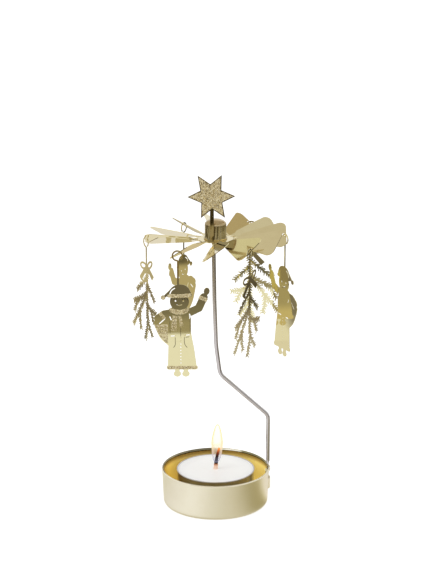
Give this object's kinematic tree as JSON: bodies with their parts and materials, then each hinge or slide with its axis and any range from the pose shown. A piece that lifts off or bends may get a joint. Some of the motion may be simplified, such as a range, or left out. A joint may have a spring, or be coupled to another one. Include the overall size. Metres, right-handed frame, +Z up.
{
  "type": "candle carousel",
  "caption": "Table-top candle carousel: a bladed sheet rotor with hanging flat ornaments turns on a bent wire over a tealight in a round brass bowl.",
  "frame": {"origin": "centre of the bowl's flat bottom, on the table top", "axes": "+Z up along the rotor's axis; +X towards the clip that holds the wire; the picture looks along +Y"},
  "size_m": [0.0794, 0.0806, 0.1665],
  "materials": {
    "satin_brass": "satin pale brass outside, warmer and glossier gold inside",
    "blade_brass": "thin rolled brass sheet, bright with a soft grain",
    "polished_brass": "polished brass sheet and pressings",
    "glitter_brass": "polished brass sheet with a layer of fine gold glitter on one face",
    "steel": "drawn wire and thin sheet, bright",
    "aluminium": "thin drawn sheet, bright",
    "white_wax": "white paraffin wax, slightly translucent",
    "burnt_wick": "charred cotton braid with a glowing tip"
  },
  "bodies": {
    "base": {"bowl": "satin_brass", "stand_wire": "steel"},
    "tealight": {"tealight_cup": "aluminium", "tealight_wax": "white_wax", "tealight_wick": "burnt_wick", "wick_holder": "steel"},
    "rotor": {"rotor": "blade_brass", "hub_cap": "polished_brass", "pivot_seat": "polished_brass", "star_topper": "glitter_brass"},
    "figure_pendant_1": {"figure_pendant_1": "polished_brass"},
    "twig_pendant_1": {"twig_pendant_1": "polished_brass"},
    "figure_pendant_2": {"figure_pendant_2": "polished_brass"},
    "twig_pendant_2": {"twig_pendant_2": "polished_brass"},
    "figure_pendant_3": {"figure_pendant_3": "polished_brass"},
    "twig_pendant_3": {"twig_pendant_3": "polished_brass"}
  },
  "joints": [
    {"name": "rotor_spin", "type": "hinge", "parent": "base", "child": "rotor", "pos_m": [0, 0, 0.1396], "axis": [0, 0, 1], "continuous": true},
    {"name": "tealight_lift", "type": "slide", "parent": "base", "child": "tealight", "axis": [0, 0, 1], "range_m": [0, 0.02]},
    {"name": "figure_swing_1", "type": "hinge", "parent": "rotor", "child": "figure_pendant_1", "pos_m": [0.0326, 0, 0.1361], "axis": [0.5, -0.866, 0], "range_deg": [-10, 85]},
    {"name": "twig_swing_1", "type": "hinge", "parent": "rotor", "child": "twig_pendant_1", "pos_m": [0.0163, 0.02823, 0.13543], "axis": [1, 0, 0], "range_deg": [-10, 85]},
    {"name": "figure_swing_2", "type": "hinge", "parent": "rotor", "child": "figure_pendant_2", "pos_m": [-0.0163, 0.02823, 0.13448], "axis": [0.5, 0.866, 0], "range_deg": [-10, 85]},
    {"name": "twig_swing_2", "type": "hinge", "parent": "rotor", "child": "twig_pendant_2", "pos_m": [-0.0326, 0, 0.134], "axis": [-0.5, 0.866, 0], "range_deg": [-10, 85]},
    {"name": "figure_swing_3", "type": "hinge", "parent": "rotor", "child": "figure_pendant_3", "pos_m": [-0.0163, -0.02823, 0.13476], "axis": [-1, 0, 0], "range_deg": [-10, 85]},
    {"name": "twig_swing_3", "type": "hinge", "parent": "rotor", "child": "twig_pendant_3", "pos_m": [0.0163, -0.02823, 0.13572], "axis": [-0.5, -0.866, 0], "range_deg": [-10, 85]}
  ]
}
